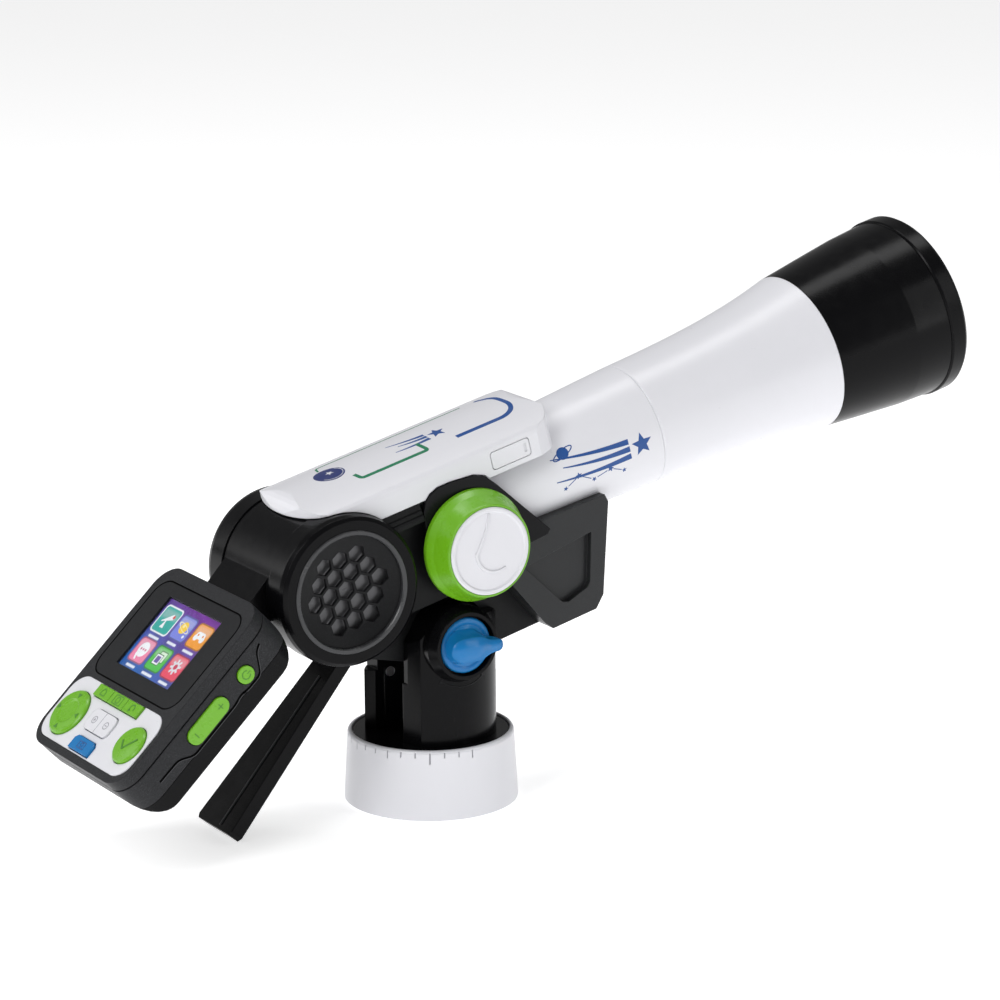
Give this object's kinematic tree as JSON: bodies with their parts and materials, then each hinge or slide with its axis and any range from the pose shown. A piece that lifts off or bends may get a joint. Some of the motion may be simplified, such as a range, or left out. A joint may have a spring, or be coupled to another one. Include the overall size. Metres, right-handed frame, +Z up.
{
  "type": "video telescope on a swivel stand",
  "caption": "White and black toy video telescope on a round swivel stand with a degree scale, with a tilting tube, a focus knob, a speaker drum and a fold-up display with keys",
  "frame": {"origin": "centre of the round base, in the plane of the rubber foot", "axes": "+Z up along the pan axis, +X towards the front of the tube at rest, +Y to the side away from the focus knob"},
  "size_m": [0.4566, 0.0892, 0.2418],
  "materials": {
    "white_plastic": "satin, very slightly lavender white",
    "black_plastic": "polished black",
    "dark_plastic": "fine spark-eroded grain",
    "grey_trim": "satin grey",
    "green_plastic": "lime green, satin",
    "blue_plastic": "dodger blue, satin",
    "steel": "turned and plated",
    "brass": "machined",
    "rubber": "matte",
    "nylon": "natural nylon",
    "optical_glass": "polished and coated",
    "screen_cover": "polished clear window",
    "lcd": "backlit picture",
    "board": "solder resist",
    "battery_wrap": "printed sleeve",
    "speaker_cone": "paper cone in a pressed frame"
  },
  "bodies": {
    "base": {"base_ring": "white_plastic", "base_plate": "dark_plastic", "tripod_insert": "brass", "base_foot": "rubber", "base_weight": "steel", "base_screws": "steel"},
    "fork": {"turntable": "black_plastic", "pan_bolt": "steel", "fork_arm_near": "black_plastic", "fork_arm_far": "black_plastic", "fork_covers": "black_plastic", "fork_screws": "steel", "tilt_bolt": "steel", "friction_washers": "nylon"},
    "lock_knob": {"tilt_lock_knob": "blue_plastic"},
    "telescope": {"chassis_near": "dark_plastic", "chassis_far": "dark_plastic", "side_wings": "dark_plastic", "side_bands": "dark_plastic", "side_fins": "dark_plastic", "top_cover": "white_plastic", "usb_port": "steel", "tube_rear": "white_plastic", "tube_front": "white_plastic", "lens_hood": "black_plastic", "hood_rim": "black_plastic", "objective_lens": "optical_glass", "lens_retainer": "black_plastic", "main_board": "board", "batteries": "battery_wrap", "battery_door": "dark_plastic", "speaker_cap": "black_plastic", "speaker_trim": "grey_trim", "speaker_grille": "dark_plastic", "speaker_driver": "speaker_cone", "far_cap": "black_plastic", "handle": "black_plastic"},
    "port_door": {"port_cover": "white_plastic"},
    "carriage": {"camera_carriage": "black_plastic"},
    "focus_knob": {"focus_shaft": "steel", "focus_rim": "green_plastic", "focus_cap": "white_plastic"},
    "display": {"hinge_barrel": "black_plastic", "display_rear": "black_plastic", "display_front": "dark_plastic", "screen_bezel": "dark_plastic", "screen_glass": "screen_cover", "lcd_panel": "lcd", "display_board": "board", "keypad_plate": "white_plastic"},
    "dpad_body": {"dpad": "green_plastic"},
    "ok_body": {"ok_key": "green_plastic"},
    "left_key_body": {"key_left": "green_plastic"},
    "middle_key_body": {"key_middle": "green_plastic"},
    "right_key_body": {"key_right": "green_plastic"},
    "white_key_body": {"white_key": "white_plastic"},
    "blue_key_body": {"blue_key": "blue_plastic"},
    "power_body": {"power_button": "green_plastic"},
    "rocker_body": {"volume_rocker": "green_plastic"}
  },
  "joints": [
    {"name": "pan", "type": "hinge", "parent": "base", "child": "fork", "pos_m": [0, 0, 0.03], "axis": [0, 0, 1], "continuous": true},
    {"name": "tilt", "type": "hinge", "parent": "fork", "child": "telescope", "pos_m": [0, 0, 0.0786], "axis": [0, -1, 0], "range_deg": [-14, 22]},
    {"name": "lock_turn", "type": "hinge", "parent": "fork", "child": "lock_knob", "pos_m": [0, -0.03, 0.0786], "axis": [0, -1, 0], "range_deg": [-90, 0]},
    {"name": "focus_turn", "type": "hinge", "parent": "telescope", "child": "focus_knob", "pos_m": [0.00515, -0.03, 0.1241], "axis": [0, -1, 0], "range_deg": [-45, 45]},
    {"name": "focus_travel", "type": "slide", "parent": "telescope", "child": "carriage", "axis": [-0.9703, 0, -0.2419], "range_m": [-0.0047, 0.0047]},
    {"name": "display_fold", "type": "hinge", "parent": "telescope", "child": "display", "pos_m": [-0.05957, 0, 0.11291], "axis": [0, 1, 0], "range_deg": [-12, 30]},
    {"name": "port_hinge", "type": "hinge", "parent": "telescope", "child": "port_door", "pos_m": [0.01557, -0.0295, 0.15998], "axis": [0.2419, 0, -0.9703], "range_deg": [0, 100]},
    {"name": "dpad_press", "type": "slide", "parent": "display", "child": "dpad_body", "axis": [0.6896, 0, -0.7242], "range_m": [0, 0.0008], "stiffness_N_per_m": 600},
    {"name": "ok_press", "type": "slide", "parent": "display", "child": "ok_body", "axis": [0.6896, 0, -0.7242], "range_m": [0, 0.0008], "stiffness_N_per_m": 600},
    {"name": "left_press", "type": "slide", "parent": "display", "child": "left_key_body", "axis": [0.6896, 0, -0.7242], "range_m": [0, 0.0008], "stiffness_N_per_m": 500},
    {"name": "middle_press", "type": "slide", "parent": "display", "child": "middle_key_body", "axis": [0.6896, 0, -0.7242], "range_m": [0, 0.0008], "stiffness_N_per_m": 500},
    {"name": "right_press", "type": "slide", "parent": "display", "child": "right_key_body", "axis": [0.6896, 0, -0.7242], "range_m": [0, 0.0008], "stiffness_N_per_m": 500},
    {"name": "blue_press", "type": "slide", "parent": "display", "child": "blue_key_body", "axis": [0.6896, 0, -0.7242], "range_m": [0, 0.0008], "stiffness_N_per_m": 600},
    {"name": "white_rock", "type": "hinge", "parent": "display", "child": "white_key_body", "pos_m": [-0.16271, 0, 0.06026], "axis": [0.7242, 0, 0.6896], "range_deg": [-3, 3], "stiffness_Nm_per_rad": 0.3},
    {"name": "power_press", "type": "slide", "parent": "display", "child": "power_body", "axis": [0, 1, 0], "range_m": [0, 0.0008], "stiffness_N_per_m": 500},
    {"name": "volume_rock", "type": "hinge", "parent": "display", "child": "rocker_body", "pos_m": [-0.13489, -0.0415, 0.06976], "axis": [-0.6896, 0, 0.7242], "range_deg": [-3, 3], "stiffness_Nm_per_rad": 0.3}
  ],
  "couplings": [
    {"joint": "focus_turn", "follows": "focus_travel", "rad_per_m": 166.67}
  ]
}
